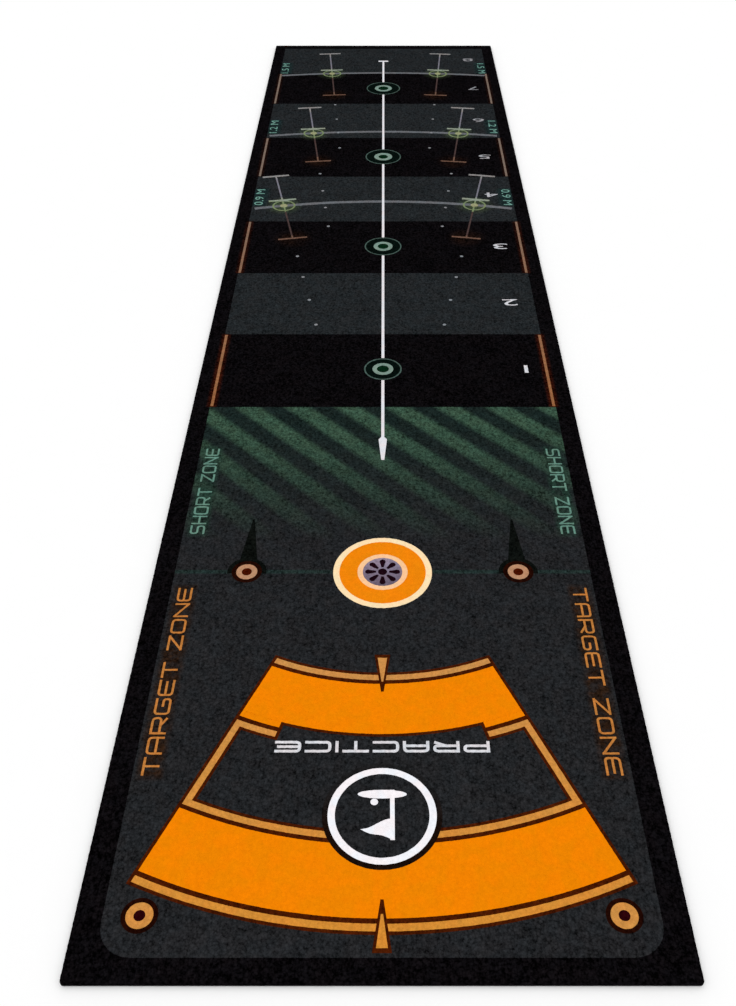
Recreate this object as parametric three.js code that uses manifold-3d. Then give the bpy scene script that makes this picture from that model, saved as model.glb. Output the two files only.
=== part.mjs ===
// Practice putting mat: a tufted nylon pile on a carrier fabric and a rubber backing, with its
// aiming pattern dyed into the tufts. Millimetres, +Z up. X runs across the mat and +Y along it,
// from the near end, with the target, to the far end. The origin is the middle of the underside.
import * as THREE from 'three';
import { mergeVertices } from 'three/addons/utils/BufferGeometryUtils.js';
import Module from 'manifold-3d';

const wasm = await Module();
wasm.setup();

// ---- The mat and its layers ------------------------------------------------------------------
const LENGTH = 2178;
const WIDTH = 500;
const CORNER = 3; // radius of the cut corners
const RUBBER_TOP = 1.5;
const CARRIER_TOP = 2;
const CARRIER_INSET = 0.5; // the fabric's edge stays just inside the rubber
const PILE_TOP = 5;

// Heights that the dye reaches down to in the tufts, and the clearance round every dyed area.
const DYE_BASE = { pointer: 4.75, print: 4.5, shade: 4, stripe: 3.5, pile: CARRIER_TOP };
const GAP = 0.3;

// ---- Where the pattern lies: X from the middle of the mat, Y from its near end ------------------
const BORDER = 23; // black margin on the sides and the far end
const NEAR_BORDER = 20.3;
const FIELD_SIDE = WIDTH / 2 - BORDER;
const FIELD_CORNER = 28; // rounding of the grey field at the near end

const BAND_START = 753; // distance bands
const BAND_PITCH = 177;
const BAND_COUNT = 8;

const STRIPE_PITCH = 65.7; // diagonal stripes before the first band, measured across the mat
const STRIPE_WIDTH = 31;
const STRIPE_SLOPE = 0.97; // sideways travel for each millimetre towards the near end
const STRIPE_PHASE = 18.8; // middle of a stripe at the first band
const STRIPE_NEAR = 543;
const FIRST_STRIPE = -6;
const LAST_STRIPE = 3;

const LINE_WIDTH = 4; // centre line, from the arrow's tip to the tee bar
const ARROW_TIP = 643;
const ARROW_TIP_WIDTH = 3.8;
const ARROW_SHOULDER = 684;
const ARROW_WIDTH = 10.6;
const ARROW_NECK = 689;
const TEE_END = 2075;
const TEE_WIDTH = 22;
const TEE_DEPTH = 7;

// Rings on the odd bands. The centre line stops at the clear distance from a ring's middle.
const SPOTS = [
  { radius: 14.3, hole: 7.3, clear: 27 },
  { radius: 15.4, hole: 7.3, clear: 31 },
  { radius: 16.8, hole: 7.6, clear: 34 },
  { radius: 18.1, hole: 9.8, clear: 36.5 },
];

const TARGET_Y = 448.5; // round target that stands for the hole
const TARGET_RADIUS = 54;
const TARGET_ORANGE = 47.5;
const TARGET_INNER = 27.8;
const CUP_RADIUS = 22;
const CUP_HOLE = 5;
const CUP_SLOTS = 8;
const CUP_SLOT = { from: 7, to: 19, width: 6.6, taper: 0.4 };

const AIM_X = 148.5; // two aiming marks beside the target
const AIM_RADIUS = 11.5;
const AIM_HOLE = 5.5;
const AIM_SHADE = 16.5;
const SPIKE_TIP = 534;
const SPIKE_WIDTH = 21;
const SPIKE_TIP_WIDTH = 1.6;

const CORNER_RING = { x: 197, y: 55, radius: 11.3, hole: 4.8, shade: 15.2 };

const FAN_POINT_Y = 573; // the fan is a sector of rings round this point
const FAN_HALF = THREE.MathUtils.degToRad(23.2);
const STEP_ANGLE = THREE.MathUtils.degToRad(16.4); // the far band is deeper beyond this angle
const FAR_LINE = [268.7, 275.2];
const FAR_BAND = [279.8, 339.3];
const FAR_BAND_SIDE = [338, 346];
const FRAME_FAR = [350.8, 357.1];
const FRAME_NEAR = [444.2, 450.5];
const FRAME_WIDTH = 6.3;
const NEAR_BAND = [454.7, 520.4];
const NEAR_LINE = [524.9, 531.3];
const FAN_SHADE = 2.4; // width of the dark outline

const POINTER_WIDTH = 9.5;
const POINTER_TIP_WIDTH = 1.8;
const FAR_POINTER = { base: 326.5, tip: 296 };
const NEAR_POINTER = { base: 28, tip: 56.5 };

const EMBLEM_Y = 148; // white ring with a golf flag in it
const EMBLEM_RADIUS = 48;
const EMBLEM_HOLE = 41.6;
const EMBLEM_SHADE = 51;
const FLAG_POLE = { x: 9, width: 5, height: 50 };
const PENNANT = { length: 27, depth: 20 };
const GREEN = { length: 44, depth: 9 };

const FACET = 6; // length of the flats on a circle
const FEWEST_FACETS = 20;
const CORNER_SEGMENTS = 5;
const ARC_STEP = 26; // length of the flats on the fan's arcs
const CUT = 1; // how far a cutter runs past the faces it cuts

// ---- Materials -------------------------------------------------------------------------------
const NYLON = 0.95; // roughness
const COLOURS = {
  black: 0x09080a,
  slate: 0x212325,
  green: 0x395042,
  orange: 0xee8303,
  amber: 0xe29a55,
  cream: 0xfce0b2,
  umber: 0x2c0c04,
  white: 0xf4f2f6,
  mint: 0x92aa9e,
  lilac: 0x8c8094,
  rubber: 0x141416,
  fabric: 0x2b2b2d,
};

// ---- Outlines: lists of points, counter-clockwise ----------------------------------------------
const at = (x, y) => new THREE.Vector2(x, y - LENGTH / 2);

// Corners follow in the order near left, near right, far right, far left.
function rectangle(x0, y0, x1, y1, radii = [0, 0, 0, 0]) {
  const inward = [[1, 1], [-1, 1], [-1, -1], [1, -1]];
  const corners = [[x0, y0], [x1, y0], [x1, y1], [x0, y1]];
  return corners.flatMap(([x, y], corner) => {
    const radius = radii[corner];
    if (radius === 0) return [at(x, y)];
    const [dx, dy] = inward[corner];
    const start = Math.PI * (1 + corner / 2);
    return Array.from({ length: CORNER_SEGMENTS + 1 }, (_, i) => {
      const angle = start + (i / CORNER_SEGMENTS) * (Math.PI / 2);
      return at(x + radius * (dx + Math.cos(angle)), y + radius * (dy + Math.sin(angle)));
    });
  });
}

function circle(x, y, radius) {
  const facets = Math.max(FEWEST_FACETS, Math.round((Math.PI * 2 * radius) / FACET));
  return Array.from({ length: facets }, (_, i) => {
    const angle = (i / facets) * Math.PI * 2;
    return at(x + radius * Math.cos(angle), y + radius * Math.sin(angle));
  });
}

// A bar along Y whose width changes from one end to the other.
function taper(x, y0, width0, y1, width1) {
  const ends = y0 < y1 ? [[y0, width0], [y1, width1]] : [[y1, width1], [y0, width0]];
  const [[near, nearWidth], [far, farWidth]] = ends;
  return [
    at(x - nearWidth / 2, near),
    at(x + nearWidth / 2, near),
    at(x + farWidth / 2, far),
    at(x - farWidth / 2, far),
  ];
}

// Angle 0 points from the fan's point to the near end, and positive angles lie on the right.
const fanPoint = (radius, angle) => at(
  radius * Math.sin(angle),
  FAN_POINT_Y - radius * Math.cos(angle),
);

function sector([inner, outer], from, to) {
  const steps = Math.ceil(((to - from) * outer) / ARC_STEP);
  const arc = (radius) => Array.from({ length: steps + 1 }, (_, i) => (
    fanPoint(radius, from + (i / steps) * (to - from))
  ));
  return [...arc(outer), ...arc(inner).reverse()];
}

const mirrored = (outline) => outline.map((p) => new THREE.Vector2(-p.x, p.y)).reverse();

// The same outline with every side moved out by a distance, or in by a negative one.
function grown(outline, distance) {
  if (distance === 0) return outline;
  const sides = outline.map((p, i) => {
    const along = outline[(i + 1) % outline.length].clone().sub(p).normalize();
    return { start: p.clone().add(new THREE.Vector2(along.y, -along.x).multiplyScalar(distance)), along };
  });
  return sides.map((side, i) => {
    const before = sides[(i + sides.length - 1) % sides.length];
    const turn = before.along.cross(side.along);
    if (Math.abs(turn) < 1e-6) return side.start;
    const reach = side.start.clone().sub(before.start).cross(side.along) / turn;
    return before.start.clone().addScaledVector(before.along, reach);
  });
}

// ---- Solids ----------------------------------------------------------------------------------
function toManifold(geometry) {
  geometry.deleteAttribute('normal');
  geometry.deleteAttribute('uv');
  const merged = mergeVertices(geometry, 1e-4);
  const vertProperties = new Float32Array(merged.attributes.position.array);
  const triVerts = new Uint32Array(merged.index.array);
  return new wasm.Manifold(new wasm.Mesh({ numProp: 3, vertProperties, triVerts }));
}

function toGeometry(solid) {
  const { vertProperties, triVerts } = solid.getMesh();
  const geometry = new THREE.BufferGeometry();
  geometry.setAttribute('position', new THREE.BufferAttribute(vertProperties, 3));
  geometry.setIndex(new THREE.BufferAttribute(triVerts, 1));
  geometry.computeVertexNormals();
  return geometry;
}

// Outlines raised from one height to another and joined.
function raised(outlines, bottom, top) {
  const solids = outlines.map((outline) => {
    const settings = { depth: top - bottom, bevelEnabled: false };
    const geometry = new THREE.ExtrudeGeometry(new THREE.Shape(outline), settings);
    return toManifold(geometry.translate(0, 0, bottom));
  });
  return solids.reduce((all, next) => all.add(next));
}

const mat = new THREE.Group();

function addPart(name, solid, colour, roughness) {
  const settings = { color: COLOURS[colour], roughness, metalness: 0 };
  const mesh = new THREE.Mesh(toGeometry(solid), new THREE.MeshStandardMaterial(settings));
  mesh.name = name;
  mat.add(mesh);
}

// A dyed area, grown by the clearance when it is the pocket that its neighbours leave for it.
function areaSolid({ outlines, without = [] }, grow, bottom, top) {
  const solid = raised(outlines.map((outline) => grown(outline, grow)), bottom, top);
  if (without.length === 0) return solid;
  const holes = without.map((outline) => grown(outline, -grow));
  return solid.subtract(raised(holes, bottom - CUT, top + CUT));
}

// ---- The printed pattern, grouped by how deep its dye goes --------------------------------------
const ringArea = (name, colour, x, y, radius, hole) => ({
  name,
  colour,
  outlines: [circle(x, y, radius)],
  without: [circle(x, y, hole)],
});

// Slots round the middle of the cup, as bars turned about it.
function cupSlots() {
  const middle = at(0, TARGET_Y);
  const { from, to, width, taper: narrow } = CUP_SLOT;
  return Array.from({ length: CUP_SLOTS }, (_, i) => {
    const angle = (i / CUP_SLOTS) * Math.PI * 2;
    const bar = taper(0, TARGET_Y + from, width * narrow, TARGET_Y + to, width);
    return bar.map((p) => p.rotateAround(middle, angle));
  });
}

function targetAreas() {
  const cupMiddle = circle(0, TARGET_Y, CUP_HOLE);
  const prints = [
    ringArea('target_outer_ring', 'cream', 0, TARGET_Y, TARGET_RADIUS, TARGET_ORANGE),
    ringArea('target_orange_ring', 'orange', 0, TARGET_Y, TARGET_ORANGE, TARGET_INNER),
    ringArea('target_inner_ring', 'cream', 0, TARGET_Y, TARGET_INNER, CUP_RADIUS),
    {
      name: 'target_cup',
      colour: 'lilac',
      outlines: [circle(0, TARGET_Y, CUP_RADIUS)],
      without: [cupMiddle, ...cupSlots()],
    },
  ];
  const shade = {
    name: 'target_shade',
    colour: 'umber',
    outlines: [circle(0, TARGET_Y, TARGET_RADIUS - GAP)],
  };
  return { prints, shade };
}

// Aiming rings beside the target, each with a long dark spike towards the far end, and the
// rings in the near corners.
function smallRings() {
  const prints = [];
  const shades = [];
  for (const [side, sign] of [['left', -1], ['right', 1]]) {
    const x = sign * AIM_X;
    const spike = taper(x, TARGET_Y, SPIKE_WIDTH, SPIKE_TIP, SPIKE_TIP_WIDTH);
    prints.push(ringArea(`${side}_aim_ring`, 'amber', x, TARGET_Y, AIM_RADIUS, AIM_HOLE));
    shades.push({
      name: `${side}_aim_shade`,
      colour: 'umber',
      outlines: [circle(x, TARGET_Y, AIM_SHADE), spike],
    });
    const { y, radius, hole, shade } = CORNER_RING;
    const cornerX = sign * CORNER_RING.x;
    prints.push(ringArea(`${side}_corner_ring`, 'amber', cornerX, y, radius, hole));
    shades.push({
      name: `${side}_corner_shade`,
      colour: 'umber',
      outlines: [circle(cornerX, y, shade)],
    });
  }
  return { prints, shades };
}

// The straight right side of the fan's frame.
function frameSide() {
  const far = FRAME_FAR[0];
  const near = FRAME_NEAR[1];
  const inside = (radius) => fanPoint(radius, FAN_HALF - Math.asin(FRAME_WIDTH / radius));
  return [inside(near), fanPoint(near, FAN_HALF), fanPoint(far, FAN_HALF), inside(far)];
}

function fanAreas() {
  const halo = [circle(0, EMBLEM_Y, EMBLEM_SHADE)];
  const farBand = [
    sector(FAR_BAND, -FAN_HALF, FAN_HALF),
    sector(FAR_BAND_SIDE, STEP_ANGLE, FAN_HALF),
    sector(FAR_BAND_SIDE, -FAN_HALF, -STEP_ANGLE),
  ];
  const rightFrame = [
    frameSide(),
    sector(FRAME_FAR, STEP_ANGLE, FAN_HALF),
    sector(FRAME_NEAR, 0, FAN_HALF),
  ];
  const outlines = {
    fan_far_line: [sector(FAR_LINE, -FAN_HALF, FAN_HALF)],
    fan_far_band: farBand,
    fan_frame_right: rightFrame,
    fan_frame_left: rightFrame.map(mirrored),
    fan_near_band: [sector(NEAR_BAND, -FAN_HALF, FAN_HALF)],
    fan_near_line: [sector(NEAR_LINE, -FAN_HALF, FAN_HALF)],
  };
  const prints = Object.entries(outlines).map(([name, list]) => ({
    name,
    colour: name.endsWith('band') ? 'orange' : 'amber',
    outlines: list,
    without: halo,
  }));
  const rightSide = sector([FAR_BAND_SIDE[0], FRAME_FAR[1]], STEP_ANGLE, FAN_HALF);
  const blocks = [
    sector([FAR_LINE[0], FAR_BAND[1]], -FAN_HALF, FAN_HALF),
    rightSide,
    mirrored(rightSide),
    frameSide(),
    mirrored(frameSide()),
    sector([FRAME_NEAR[0], NEAR_LINE[1]], -FAN_HALF, FAN_HALF),
  ];
  const shade = {
    name: 'fan_outline',
    colour: 'umber',
    outlines: [...blocks.map((block) => grown(block, FAN_SHADE)), ...halo],
    without: [circle(0, EMBLEM_Y, EMBLEM_HOLE)],
  };
  const pointer = (name, { base, tip }) => ({
    name,
    colour: 'amber',
    outlines: [taper(0, base, POINTER_WIDTH, tip, POINTER_TIP_WIDTH)],
  });
  const pointers = [
    pointer('fan_far_pointer', FAR_POINTER),
    pointer('fan_near_pointer', NEAR_POINTER),
  ];
  return { prints, shade, pointers };
}

// The flag stands with its foot towards the far end, from where the mat is walked up to.
function emblemAreas() {
  const foot = EMBLEM_Y + FLAG_POLE.height / 2;
  const head = EMBLEM_Y - FLAG_POLE.height / 2;
  const pole = rectangle(
    FLAG_POLE.x - FLAG_POLE.width / 2,
    head,
    FLAG_POLE.x + FLAG_POLE.width / 2,
    foot,
  );
  const pennant = [
    at(FLAG_POLE.x, head),
    at(FLAG_POLE.x, head + PENNANT.depth),
    at(FLAG_POLE.x - PENNANT.length, head + PENNANT.depth / 2),
  ];
  const green = rectangle(
    -GREEN.length / 2,
    foot - GREEN.depth,
    GREEN.length / 2,
    foot,
    Array(4).fill(GREEN.depth / 2),
  );
  return [
    ringArea('emblem_ring', 'white', 0, EMBLEM_Y, EMBLEM_RADIUS, EMBLEM_HOLE),
    { name: 'emblem_flag', colour: 'white', outlines: [pole, pennant, green] },
  ];
}

// The centre line in pieces between the rings of the odd bands.
function centreLineAreas() {
  const areas = [];
  let from = ARROW_NECK - GAP;
  let part = 1;
  const head = [
    taper(0, ARROW_TIP, ARROW_TIP_WIDTH, ARROW_SHOULDER, ARROW_WIDTH),
    taper(0, ARROW_SHOULDER, ARROW_WIDTH, ARROW_NECK, LINE_WIDTH),
  ];
  const line = (y0, y1) => rectangle(-LINE_WIDTH / 2, y0, LINE_WIDTH / 2, y1);
  for (const { radius, hole, clear } of SPOTS) {
    const band = part * 2 - 1;
    const y = BAND_START + (band - 0.5) * BAND_PITCH;
    const outlines = [line(from, y - clear), ...(part === 1 ? head : [])];
    areas.push({ name: `centre_line_${part}`, colour: 'white', outlines });
    areas.push(ringArea(`distance_ring_${band}`, 'mint', 0, y, radius, hole));
    from = y + clear;
    part += 1;
  }
  const tee = rectangle(-TEE_WIDTH / 2, TEE_END - TEE_DEPTH, TEE_WIDTH / 2, TEE_END);
  const last = { name: `centre_line_${part}`, colour: 'white', outlines: [line(from, TEE_END), tee] };
  return [...areas, last];
}

function stripeAreas() {
  const margins = [
    rectangle(-WIDTH, 0, -FIELD_SIDE, LENGTH),
    rectangle(FIELD_SIDE, 0, WIDTH, LENGTH),
  ];
  const travel = (BAND_START - STRIPE_NEAR) * STRIPE_SLOPE;
  return Array.from({ length: LAST_STRIPE - FIRST_STRIPE + 1 }, (_, i) => {
    const left = STRIPE_PHASE + (FIRST_STRIPE + i) * STRIPE_PITCH - STRIPE_WIDTH / 2;
    const right = left + STRIPE_WIDTH;
    const outline = [
      at(left + travel, STRIPE_NEAR),
      at(right + travel, STRIPE_NEAR),
      at(right, BAND_START),
      at(left, BAND_START),
    ];
    return { name: `green_stripe_${i + 1}`, colour: 'green', outlines: [outline], without: margins };
  });
}

// The four sides of the border, the grey field and the bands fill the whole mat.
function pileAreas() {
  const farEnd = LENGTH - BORDER;
  const fieldOutline = rectangle(
    -FIELD_SIDE,
    NEAR_BORDER,
    FIELD_SIDE,
    BAND_START,
    [FIELD_CORNER, FIELD_CORNER, 0, 0],
  );
  const left = rectangle(-WIDTH / 2, 0, -FIELD_SIDE, LENGTH, [CORNER, 0, 0, CORNER]);
  const sides = {
    left_border_pile: { outlines: [left] },
    right_border_pile: { outlines: [mirrored(left)] },
    far_border_pile: { outlines: [rectangle(-FIELD_SIDE, farEnd, FIELD_SIDE, LENGTH)] },
    near_border_pile: {
      outlines: [rectangle(-FIELD_SIDE, 0, FIELD_SIDE, NEAR_BORDER + FIELD_CORNER)],
      without: [fieldOutline],
    },
  };
  const border = Object.entries(sides).map(([name, side]) => ({ name, colour: 'black', ...side }));
  const field = { name: 'field_pile', colour: 'slate', outlines: [fieldOutline] };
  const bands = Array.from({ length: BAND_COUNT }, (_, i) => {
    const near = BAND_START + i * BAND_PITCH;
    const far = Math.min(near + BAND_PITCH, farEnd);
    return {
      name: `band_${i + 1}_pile`,
      colour: i % 2 ? 'slate' : 'black',
      outlines: [rectangle(-FIELD_SIDE, near, FIELD_SIDE, far)],
    };
  });
  return [...border, field, ...bands];
}

// ---- Assembly --------------------------------------------------------------------------------
const base = rectangle(-WIDTH / 2, 0, WIDTH / 2, LENGTH, Array(4).fill(CORNER));
addPart('rubber_backing', raised([base], 0, RUBBER_TOP), 'rubber', 0.7);
const fabric = raised([grown(base, -CARRIER_INSET)], RUBBER_TOP, CARRIER_TOP);
addPart('carrier_fabric', fabric, 'fabric', 0.9);

const target = targetAreas();
const rings = smallRings();
const fan = fanAreas();
const levels = {
  pointer: fan.pointers,
  print: [
    ...target.prints,
    ...rings.prints,
    ...fan.prints,
    ...emblemAreas(),
    ...centreLineAreas(),
  ],
  shade: [target.shade, ...rings.shades, fan.shade],
  stripe: stripeAreas(),
  pile: pileAreas(),
};

// The shallow dye is laid first, and everything laid later leaves a pocket for it.
let taken = null;
for (const [level, areas] of Object.entries(levels)) {
  for (const area of areas) {
    const whole = areaSolid(area, 0, DYE_BASE[level], PILE_TOP);
    addPart(area.name, taken ? whole.subtract(taken) : whole, area.colour, NYLON);
    const pocket = areaSolid(area, GAP, DYE_BASE[level], PILE_TOP + CUT);
    taken = taken ? taken.add(pocket) : pocket;
  }
}

export default mat;
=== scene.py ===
"""The looks of a practice putting mat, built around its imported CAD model.

The pile is cut into one closed piece for each dyed area. All the areas share one triangulation, so
that neighbours meet along the same points, and one relief gives the height of every tuft. Metres,
+Z up. X runs across the mat, and +Y along it, from the near end, with the target, to the far end.
"""

import math

import bpy
import numpy as np
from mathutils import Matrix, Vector
from mathutils.geometry import delaunay_2d_cdt


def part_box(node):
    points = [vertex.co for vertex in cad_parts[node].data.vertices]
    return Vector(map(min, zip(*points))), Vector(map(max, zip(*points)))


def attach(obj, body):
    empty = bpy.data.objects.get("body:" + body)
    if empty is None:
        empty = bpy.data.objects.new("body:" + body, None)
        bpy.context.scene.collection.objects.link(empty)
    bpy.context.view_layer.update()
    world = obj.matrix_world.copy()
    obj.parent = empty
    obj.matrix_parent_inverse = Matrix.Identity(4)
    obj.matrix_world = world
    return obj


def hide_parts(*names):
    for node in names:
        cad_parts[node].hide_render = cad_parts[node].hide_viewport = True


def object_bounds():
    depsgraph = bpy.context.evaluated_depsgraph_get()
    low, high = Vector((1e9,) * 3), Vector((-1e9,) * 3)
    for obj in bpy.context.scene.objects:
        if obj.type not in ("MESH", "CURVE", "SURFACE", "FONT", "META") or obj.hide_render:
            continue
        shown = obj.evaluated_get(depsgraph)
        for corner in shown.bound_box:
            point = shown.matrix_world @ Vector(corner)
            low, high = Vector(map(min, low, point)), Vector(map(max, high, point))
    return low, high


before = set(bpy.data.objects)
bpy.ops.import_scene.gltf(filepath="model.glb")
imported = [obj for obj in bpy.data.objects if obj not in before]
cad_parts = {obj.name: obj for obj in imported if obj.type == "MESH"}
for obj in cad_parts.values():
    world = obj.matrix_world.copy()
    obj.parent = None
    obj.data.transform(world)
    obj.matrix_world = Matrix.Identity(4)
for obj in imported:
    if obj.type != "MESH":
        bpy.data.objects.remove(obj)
cad_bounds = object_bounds()

# ---- The mat's own measures, from the CAD model ----
MM = 0.001
GAP = 0.3 * MM  # clearance between neighbouring CAD areas, which the tufts close
MAT_HIGH = cad_bounds[1]
HALF_WIDTH = MAT_HIGH.x
HALF_LENGTH = MAT_HIGH.y
MAT_HALF = np.array([HALF_WIDTH, HALF_LENGTH])
PILE_TOP = MAT_HIGH.z
PILE_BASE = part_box("carrier_fabric")[1].z
FIELD_LOW, FIELD_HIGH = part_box("field_pile")
INNER_X = FIELD_HIGH.x + GAP
INNER_NEAR = FIELD_LOW.y - GAP
BAND_START = FIELD_HIGH.y
BANDS = 8
BAND_ENDS = [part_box(f"band_{n}_pile")[1].y for n in range(1, BANDS)]
BAND_EDGES = [BAND_START, *BAND_ENDS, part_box(f"band_{BANDS}_pile")[1].y + GAP]
BAND_PITCH = BAND_EDGES[2] - BAND_EDGES[1]
TARGET_Y = sum(p.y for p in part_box("target_cup")) / 2

# ---- Pile ----
TUFT = 2.0 * MM  # distance between tufts
TUFT_JITTER = 0.36  # how far a tuft strays from its row, as a share of that distance
TUFT_RISE = 0.22 * MM  # the tufts' heights differ by this much up and down
SWELL = 0.1 * MM  # slow rise and fall of the pile
EDGE_ROUND = 1.3 * MM  # the cut edge of the pile is rounded off
SPLAY = 0.5 * MM  # tufts lean out over the cut edge by up to this much
MAT_CORNER = 3 * MM
FIELD_CORNER = 28 * MM
ARC_POINTS = 8  # points on a rounded corner
CIRCLE_STEP = 1.5 * MM
LEAST_POINTS = 24  # on a circle
NEAR_ZERO = 1e-6
MERGED = 1e-7  # points closer than this become one
SEED = 7
RISE_SEED = 0.5
SPLAY_SEED = 3.1
SPECKLE_CELLS = 1e5  # in a metre
SPECKLE_TURN = np.array([12.9898, 78.233])
SPECKLE_SCALE = 43758.5453
SWELL_WAVES = ((41, 23, 0), (97, -61, 2), (17, 139, 4))  # along X, along Y, and where each starts
SHARP = math.radians(52)
EDGE_RINGS = (0.3 * MM, 0.9 * MM, 1.8 * MM)  # rows of points inside the mat's cut edge

# ---- Pattern ----
STRIPE_PITCH = 65.7 * MM
STRIPE_WIDTH = 31 * MM
STRIPE_SLOPE = 0.97
STRIPE_PHASE = 18.8 * MM
STRIPES = 10
FIRST_STRIPE = -6
STRIPE_NEAR = BAND_START - 210 * MM

LINE_HALF = 2 * MM
ARROW_SHOULDER = 41 * MM  # from the arrow's tip
ARROW_NECK = 46 * MM
ARROW_TIP_HALF = 1.9 * MM
TEE_DEPTH = 7 * MM

FAN_POINT = 573 * MM - HALF_LENGTH
FAN_HALF = math.radians(23.2)
STEP_ANGLE = math.radians(16.4)
FAR_BAND_MIDDLE = 339.3 * MM
FRAME_WIDTH = 6.3 * MM
FAN_SHADE = 3.1 * MM
POINTER_TIP_HALF = 0.9 * MM
POINTER_SHADE = (8 * MM, 1.3 * MM)  # half widths of the dark shape behind a pointer
POINTER_SHADE_PAST = (4 * MM, 12.5 * MM)  # how far it runs past the base and the tip

CUP_HOLE = 5 * MM
CUP_SLOTS = 8
SLOT_FROM, SLOT_TO = 7 * MM, 15.8 * MM
SLOT_HALF = 3.3 * MM
SLOT_TAPER = 0.4
AIM_HOLE = 5.5 * MM
CORNER_HOLE = 4.8 * MM
SPIKE_HALF = 12 * MM
COLLAR = 21.5 * MM  # radius of the dark half disc that a spike stands on
COLLAR_TURN = math.radians(98)  # to each side of the spike
SPOT_HOLES = (8.3 * MM, 8.7 * MM, 8.8 * MM, 10.8 * MM)
SPOT_CIRCLES = (24.9 * MM, 29 * MM, 32.2 * MM, 34.5 * MM)
SPOT_CIRCLE_HALF = 1 * MM
EMBLEM_HOLE = 41.6 * MM
EMBLEM_HALO = 53 * MM

ARCS = (911 * MM, 1220 * MM, 1548 * MM)  # distances from the target
ARC_HALF = 4.2 * MM
ARC_REACH = 222 * MM
GATE_SLOPES = ((-0.1925, 0.1765), (-0.1125, 0.1215), (-0.073, 0.0775))
GATE_REACH = (122 * MM, 133 * MM, 128 * MM)
GATE_BAR = 24 * MM  # half the length of its bars
GATE_BAR_THICK = (4.4 * MM, 6 * MM, 6 * MM)  # near, middle and far bar
GATE_STEM = 2.8 * MM
GATE_CROSSBAR = 22 * MM  # how far past the gate's ring the middle bar lies
GATE_RING = (17 * MM, 20 * MM)
GATE_DOT = 6.5 * MM
DOT_ROWS = ((956, 1026, 1095, 1162), (1266, 1336, 1402, 1474), (1590, 1663, 1733, 1810))
DOT_RADIUS = 2.6 * MM

SIDE_LINE_X = 224.7 * MM
SIDE_LINE_HALF = 1.9 * MM
DIGIT_X = 191 * MM
DIGIT_SIZE = (23 * MM, 18 * MM)  # width and height
DIGIT_ONE = (197 * MM, 5 * MM)  # the first digit's place and width
DIGIT_FOUR_AHEAD = 13.5 * MM  # the fourth digit lies past the middle of its band

POLE_X = 9 * MM
POLE_HALF = 2 * MM
PENNANT_LENGTH = 28 * MM
PENNANT_DEPTH = 21 * MM
PENNANT_WAVE = 1.2 * MM
PENNANT_STEPS = 15
GREEN_HALF = 4.5 * MM
BALL_X = -7 * MM
BALL_RADIUS = 3.4 * MM

LETTER_STEPS = 4
LABEL_BOLD = 0.012  # how far the strokes are widened, as a share of the letters' size
# The strokes of square letters, in a box that is one wide and one high.
SPINE = ((0, 0), (0, 1))
BOWL = ((0, 1), (1, 1), (1, 0.4), (0, 0.4))
ROUND_BACK = ((1, 1), (0, 1), (0, 0), (1, 0))
LETTERS = {
    "A": (((0, 0), (0, 1), (1, 1), (1, 0)), ((0, 0.4), (1, 0.4))),
    "C": (ROUND_BACK,),
    "E": (ROUND_BACK, ((0, 0.5), (0.9, 0.5))),
    "G": (((1, 1), (0, 1), (0, 0), (1, 0), (1, 0.5), (0.55, 0.5)),),
    "H": (SPINE, ((1, 0), (1, 1)), ((0, 0.5), (1, 0.5))),
    "I": (((0.5, 0), (0.5, 1)),),
    "N": (SPINE, ((0.05, 0.95), (0.95, 0.05)), ((1, 0), (1, 1))),
    "O": (((0.5, 1), (0, 1), (0, 0), (0.5, 0)), ((0.5, 0), (1, 0), (1, 1), (0.5, 1))),
    "P": (SPINE, BOWL),
    "R": (SPINE, BOWL, ((0.5, 0.4), (0.95, 0.04))),
    "S": (((1, 1), (0, 1), (0, 0.5), (1, 0.5), (1, 0), (0, 0)),),
    "T": (((0, 1), (1, 1)), ((0.5, 1), (0.5, 0))),
    "Z": (((0, 1), (1, 1)), ((0.95, 0.95), (0.05, 0.05)), ((0, 0), (1, 0))),
}
LETTER_WIDTHS = {"I": 0.14, " ": 0.5}  # of those that are not one wide
LETTER_GAP = 0.14
LETTER_ROUND = 3.5 * MM
LETTER_REACH = 0.45  # the most of a side that the rounding of one corner takes
WORD_STROKE = 1.15 * MM  # half the width of the strokes
HEADING_STROKE = 1.45 * MM
SIDES = (("left", -1), ("right", 1))
LABEL_X = 211.5 * MM
SIDE_WORDS = (
    ("target_zone_label", "TARGET ZONE", (188 * MM, 424 * MM), 15.5 * MM),
    ("short_zone_label", "SHORT ZONE", (509 * MM, 665 * MM), 17 * MM),
)
ARC_WORDS = ("0.9 M", "1.2 M", "1.5 M")
ARC_WORD_X = 217 * MM
ARC_WORD_SIZE = (62 * MM, 15 * MM)
ARC_WORD_AHEAD = 45 * MM
HEADING_Y = 219.3 * MM
HEADING_SIZE = (200 * MM, 12.8 * MM)

# ---- Looks ----
# A ramp is where it starts and ends. Two more numbers are its values there.
SLATE = "#242527"
BAND_SLATE = "#242729"
BLACK = "#0d0b0d"
STRIPE_PEAK = "#395242"
STRIPE_TROUGH = "#1a2523"
STRIPE_SOFT = (0.13, 0.35)  # from a stripe's middle, in pitches
STRIPE_FADE = (498 * MM, 723 * MM)
CROSS_LINE = (1.5 * MM, 4 * MM)
CROSS_LINE_AMOUNT = 0.4
CROSS_LINE_GREEN = "#24403a"
LABEL_GLOW = (7.5 * MM, 15.5 * MM)
LABEL_BLOTCHES = 110.0
LABEL_BLOTCH = (0.35, 0.65, 0.35, 1.0)
LABEL_STAIN = {"target_zone_label": "#2b1c12", "short_zone_label": "#24382f"}
SIDE_GLOW = (1 * MM, 9 * MM)
ODD_HALF = (0.49, 0.51)  # where the odd band of each pair ends
SIDE_STAINS = ("#3c1406", "#200f09")  # from the first band to the fifth
SIDE_LINE_COLOURS = ("#966440", "#7a695e")
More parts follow.
